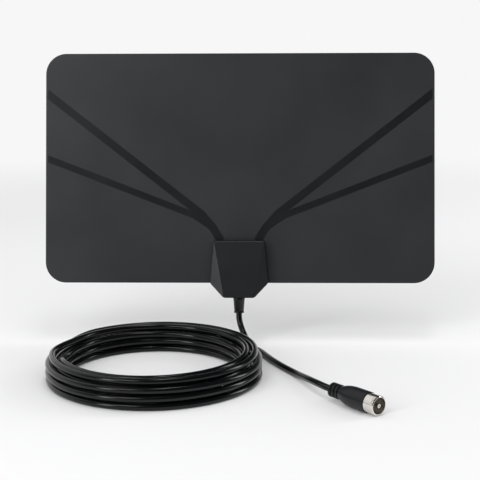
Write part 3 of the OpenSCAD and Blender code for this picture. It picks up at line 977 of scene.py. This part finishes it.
@dataclass
class Connector:
    """The push-on connector with its moulded grip, lying on the ground."""

    mouth: Point = (80.6, -170.4, -110.0)
    turn: float = 50.0
    shell_radius: float = 5.6
    bore_radius: float = 4.75
    shell_length: float = 7.4
    grip_radius: float = 6.0
    grip_length: float = 29.6
    cavity: float = 7.6
    insulator: float = 3.0
    insulator_radius: float = 4.7
    rib_radius: float = 4.3
    rib_depth: float = 0.75
    rib_pitch: float = 2.7
    rib_width: float = 1.5
    rib_count: int = 3
    pin_radius: float = 1.2
    # Where the two slits begin round the shell, how far they go, and their place and depth
    slit_starts: Pair = (200.0, 20.0)
    slit_span: float = 50.0
    slit_near: float = 1.15
    slit_far: float = 1.5
    slit_depth: float = 0.35

    def place(self) -> Matrix:
        """Gives the matrix that lays the connector down, mouth forward and right."""
        return (Matrix.Translation(Vector(self.mouth) * MM)
                @ Matrix.Rotation(math.radians(-self.turn), 4, "Z")
                @ Matrix.Rotation(math.radians(90), 4, "Y"))

    def tail_points(self) -> list[Point]:
        """Gives the lead's last points, straight into the grip."""
        ahead = Vector((math.cos(math.radians(self.turn)), -math.sin(math.radians(self.turn)), 0))
        end = Vector(self.mouth) - (self.shell_length + self.grip_length) * ahead
        return [tuple(end - distance * ahead) for distance in (6.0, 3.0, 0.0)]

    def build(self) -> list[Object]:
        """Builds grip, shell, insulator and pin.

        Returns:
            The four pieces.
        """
        return [self.grip(), self.shell(), self.insulator_disc(), self.pin()]

    def grip(self) -> Object:
        """Spins the moulded grip with the ribs of its tail."""
        top, foot = -self.shell_length, -(self.shell_length + self.grip_length)
        wide, rib, inside = self.grip_radius, self.rib_radius, self.bore_radius + 0.55
        profile = [
            (inside, top - 0.6), (self.bore_radius + 0.6, top), (wide - 0.35, top),
            (wide - 0.1, top - 0.15), (wide, top - 0.5), (wide, top - 11.5),
            (wide - 0.08, top - 13.2), (wide - 0.3, top - 15.4), (wide - 0.7, top - 17.6),
            (rib + 0.3, foot + 9.5), (rib + 0.1, foot + 8.9), (rib, foot + 8.5),
        ]
        for i in reversed(range(self.rib_count)):
            profile += self.rib_profile(foot + i * self.rib_pitch)
        profile += [(LEAD_BORE, foot), (LEAD_BORE, foot + 12.0), (inside, foot + 13.0),
                    (inside, top - 0.6)]
        grip = turned("connector_grip", profile)
        return finish_piece(grip, self.place(), GRIP_VINYL, ["plug_body"])

    def rib_profile(self, low: float) -> list[Pair]:
        """Gives the points of one groove and the rib after it, on the way to the tail's end.

        Args:
            low: Height of the rib's far face.
        """
        rib, waist = self.rib_radius, self.rib_radius - self.rib_depth
        groove, edge = low + self.rib_pitch, low + self.rib_width
        return [(rib - 0.1, groove - 0.05), (waist, groove - 0.3), (waist, edge + 0.25),
                (rib - 0.15, edge), (rib, edge - 0.15), (rib, low + 0.2), (rib - 0.2, low)]

    def shell(self) -> Object:
        """Spins the plated shell with its bevelled mouth and cuts the short slits."""
        r, bore = self.shell_radius, self.bore_radius
        floor = -(self.cavity + self.insulator)
        root, inside, back, hole = -self.shell_length, bore + 0.5, floor - 1.2, 1.6
        profile = [
            (bore, floor), (bore, -0.06), (bore + 0.05, 0.0), (r - 0.56, 0.0),
            (r - 0.52, -0.035), (r - 0.08, -0.43), (r, -0.6), (r, root + 0.4),
            (r - 0.25, root + 0.25), (r - 0.25, root), (inside, root), (inside, back),
            (hole, back), (hole, floor), (bore, floor),
        ]
        shell = turned("connector_shell", profile, 128)
        for start in self.slit_starts:
            combine(shell, self.slit(start), "DIFFERENCE")
        return finish_piece(shell, self.place(), NICKEL_PLATE, ["plug_shell"])

    def slit(self, start: float) -> Object:
        """Makes the cutter of one short slit near the mouth, as a part of a ring.

        Args:
            start: Angle at which the slit begins.

        Returns:
            The closed cutter.
        """
        inner = self.shell_radius - self.slit_depth
        outer = inner + 1.0
        corners = ((inner, self.slit_far), (outer, self.slit_far), (outer, self.slit_near),
                   (inner, self.slit_near))
        cutter = drawn("slit", [(r, 0.0, -z) for r, z in corners], closed=True)
        cutter.data.transform(Matrix.Rotation(math.radians(start), 4, "Z"))
        with editing(cutter):
            bpy.ops.mesh.spin(steps=16, angle=-math.radians(self.slit_span), center=(0, 0, 0),
                              axis=(0, 0, 1))
            face_outward()
        return cutter

    def insulator_disc(self) -> Object:
        """Spins the insulator, dished a little round the pin."""
        top, foot = -self.cavity, -(self.cavity + self.insulator)
        hole, rim = self.pin_radius + 0.25, self.insulator_radius
        profile = [
            (hole, foot), (hole, top - 0.3), (hole + 0.25, top - 0.1), (hole + 0.75, top),
            (rim - 0.4, top), (rim - 0.1, top - 0.1), (rim, top - 0.3), (rim, foot), (hole, foot),
        ]
        disc = turned("connector_insulator", profile, 64)
        return finish_piece(disc, self.place(), ACETAL, ["plug_insulator"])

    def pin(self) -> Object:
        """Spins the hollow centre pin with its rounded tip."""
        floor, foot = -self.cavity, -(self.cavity + self.insulator + 0.6)
        r, hollow, root = self.pin_radius, 0.4, self.pin_radius + 0.2
        profile = [
            (0.0, floor), (hollow, floor), (hollow, -0.1), (hollow + 0.08, 0.0), (r - 0.2, 0.0),
            (r - 0.05, -0.06), (r, -0.25), (r, floor), (root, floor), (root, foot), (0.0, foot),
        ]
        pin = turned("connector_pin", profile, 64)
        return finish_piece(pin, self.place(), NICKEL_PLATE, ["plug_pin"])


@dataclass(frozen=True)
class Lamp:
    """A soft rectangular lamp, with places and sizes in metres and its power in watts."""

    name: str
    place: Point
    target: Point
    width: float
    height: float
    power: float

    def build(self) -> None:
        """Adds the lamp, pointed at its target."""
        bpy.ops.object.light_add(type="AREA", location=self.place)
        lamp = bpy.context.object
        lamp.name = self.name
        lamp.data.shape = "RECTANGLE"
        lamp.data.size = self.width
        lamp.data.size_y = self.height
        lamp.data.energy = self.power
        aim = (Vector(self.target) - Vector(self.place)).to_track_quat("-Z", "Y")
        lamp.rotation_euler = aim.to_euler()


@dataclass
class Studio:
    """A plain pale floor and soft light."""

    floor_colour: str = "f1f1f2"
    sky_colour: str = "f7f7f7"
    room_colour: str = "3a3b3d"
    sky_strength: float = 0.73
    floor_size_m: float = 16.0
    # Distance from the middle, in metres, over which the floor turns into backdrop
    fade_m: Pair = (0.5, 1.2)
    # Parts of a direction over which the world turns pale: its Y, and its Z and X together
    behind: Pair = (-0.55, 0.25)
    low: Pair = (0.78, 0.5)
    lamps: tuple[Lamp, ...] = (
        Lamp("key", (-0.44, -0.8, 0.72), (-0.04, 0, -0.03), 0.4, 0.4, 2.0),
        Lamp("left", (-0.95, -1.0, 0.36), (-0.05, 0, 0), 0.3, 0.7, 4.2),
        Lamp("right", (1.2, 0.3, 0.4), (0, 0, -0.08), 0.25, 0.8, 4.5),
        Lamp("top", (0.1, -0.1, 1.4), (0, -0.08, -0.1), 0.8, 0.16, 3.0),
    )

    def build(self) -> None:
        """Builds floor, sky and lamps."""
        self.floor()
        self.sky()
        for lamp in self.lamps:
            lamp.build()

    def floor(self) -> None:
        """Adds the floor, wide enough to run out of view."""
        bpy.ops.object.select_all(action="DESELECT")
        bpy.ops.mesh.primitive_plane_add(size=self.floor_size_m, location=(0, 0, 0))
        floor = bpy.context.object
        floor.name = "floor"
        floor.data.transform(Matrix.Translation((0, 0, GROUND * MM)))
        material = bpy.data.materials.new("pale_paper_floor")
        tree = fresh_tree(material)
        coords = add_node(tree, "ShaderNodeTexCoord").outputs["Object"]
        away = add_node(tree, "ShaderNodeVectorMath", None, {0: coords}, operation="LENGTH")
        far = remapped(tree, away.outputs["Value"], *self.fade_m)
        matt = add_node(tree, "ShaderNodeBsdfDiffuse", {"Color": hex_colour(self.floor_colour)})
        glow = add_node(tree, "ShaderNodeEmission", {"Color": hex_colour(self.sky_colour)})
        blend = add_node(tree, "ShaderNodeMixShader", None,
                         {0: far, 1: matt.outputs[0], 2: glow.outputs[0]})
        add_node(tree, "ShaderNodeOutputMaterial", None, {"Surface": blend.outputs[0]})
        floor.data.materials.append(material)

    def sky(self) -> None:
        """Makes the world that the lens and shiny surfaces see, and plain light for the rest.

        What they see is pale behind the part and low down, and a dim room in front and above.
        The pale part reaches higher on the left, because X counts with Z.
        """
        world = bpy.data.worlds.new("studio_sky")
        bpy.context.scene.world = world
        tree = fresh_tree(world)
        way = add_node(tree, "ShaderNodeTexCoord").outputs["Generated"]
        apart = add_node(tree, "ShaderNodeSeparateXYZ", None, {0: way}).outputs
        behind = remapped(tree, apart["Y"], *self.behind)
        low = remapped(tree, combined(tree, "ADD", apart["Z"], apart["X"]), *self.low)
        shade = add_node(tree, "ShaderNodeMix",
                         {"A": hex_colour(self.room_colour), "B": hex_colour(self.sky_colour)},
                         {"Factor": combined(tree, "MULTIPLY", behind, low)}, data_type="RGBA")
        path = add_node(tree, "ShaderNodeLightPath").outputs
        clear = combined(tree, "MAXIMUM", path["Is Camera Ray"], path["Is Transmission Ray"])
        seen = combined(tree, "MAXIMUM", clear, path["Is Glossy Ray"])
        soft = add_node(tree, "ShaderNodeBackground",
                        {"Color": (1, 1, 1, 1), "Strength": self.sky_strength})
        plain = add_node(tree, "ShaderNodeBackground", {"Strength": 1.0},
                         {"Color": shade.outputs[2]})
        blend = add_node(tree, "ShaderNodeMixShader", None,
                         {0: seen, 1: soft.outputs[0], 2: plain.outputs[0]})
        add_node(tree, "ShaderNodeOutputWorld", None, {"Surface": blend.outputs[0]})


@dataclass
class FrameParts:
    """The CAD nodes that show as they are, with their finishes."""

    finishes: tuple[tuple[str, Finish], ...] = (
        ("rear_film", MATT_FILM), ("element_left", ROLLED_FOIL), ("element_right", ROLLED_FOIL),
        # The seal ring's black edge beside the box is painted shade, standing in for contact shade
        ("seal_ring", SEAL_FOAM_SHADE), ("housing_back", MOULDED_ABS), ("housing_screws", ZINC_STEEL),
        ("circuit_board", SOLDER_MASK), ("contact_springs", SPRING_BRONZE),
        ("balun_core", FERRITE), ("balun_winding", COPPER_WIRE), ("chip_parts", CHIP_CERAMIC),
        ("crimp_ring", CRIMP_BRASS), ("cable_end", VINYL_JACKET), ("cable_foam", FOAM_CORE),
        ("cable_wire", COPPER_WIRE), ("plug_crimp", CRIMP_BRASS),
        ("plug_cable_end", VINYL_JACKET), ("plug_foam", FOAM_CORE),
    )

    def dress(self) -> None:
        """Gives each node its finish."""
        made: dict[str, bpy.types.Material] = {}
        for name, finish in self.finishes:
            if finish.name not in made:
                made[finish.name] = finish.material()
            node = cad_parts[name]
            node.data.materials.clear()
            node.data.materials.append(made[finish.name])
            log.info("%s wears %s", name, finish.name)


def main() -> None:
    """Builds the camera, the lead, the sheet, the box, the connector and the studio."""
    bpy.context.scene.view_settings.view_transform = "Standard"
    Photographer().build()
    connector = Connector()
    lead = Lead()
    line = lead.build(connector.tail_points())
    pieces = connector.build()
    SheetPanel().build()
    JunctionBox().build()
    StrainRelief().build()
    FrameParts().dress()
    lead.declare()
    Studio().build()


if __name__ == "__main__":
    logging.basicConfig(level=logging.INFO, format="%(message)s")
    main()
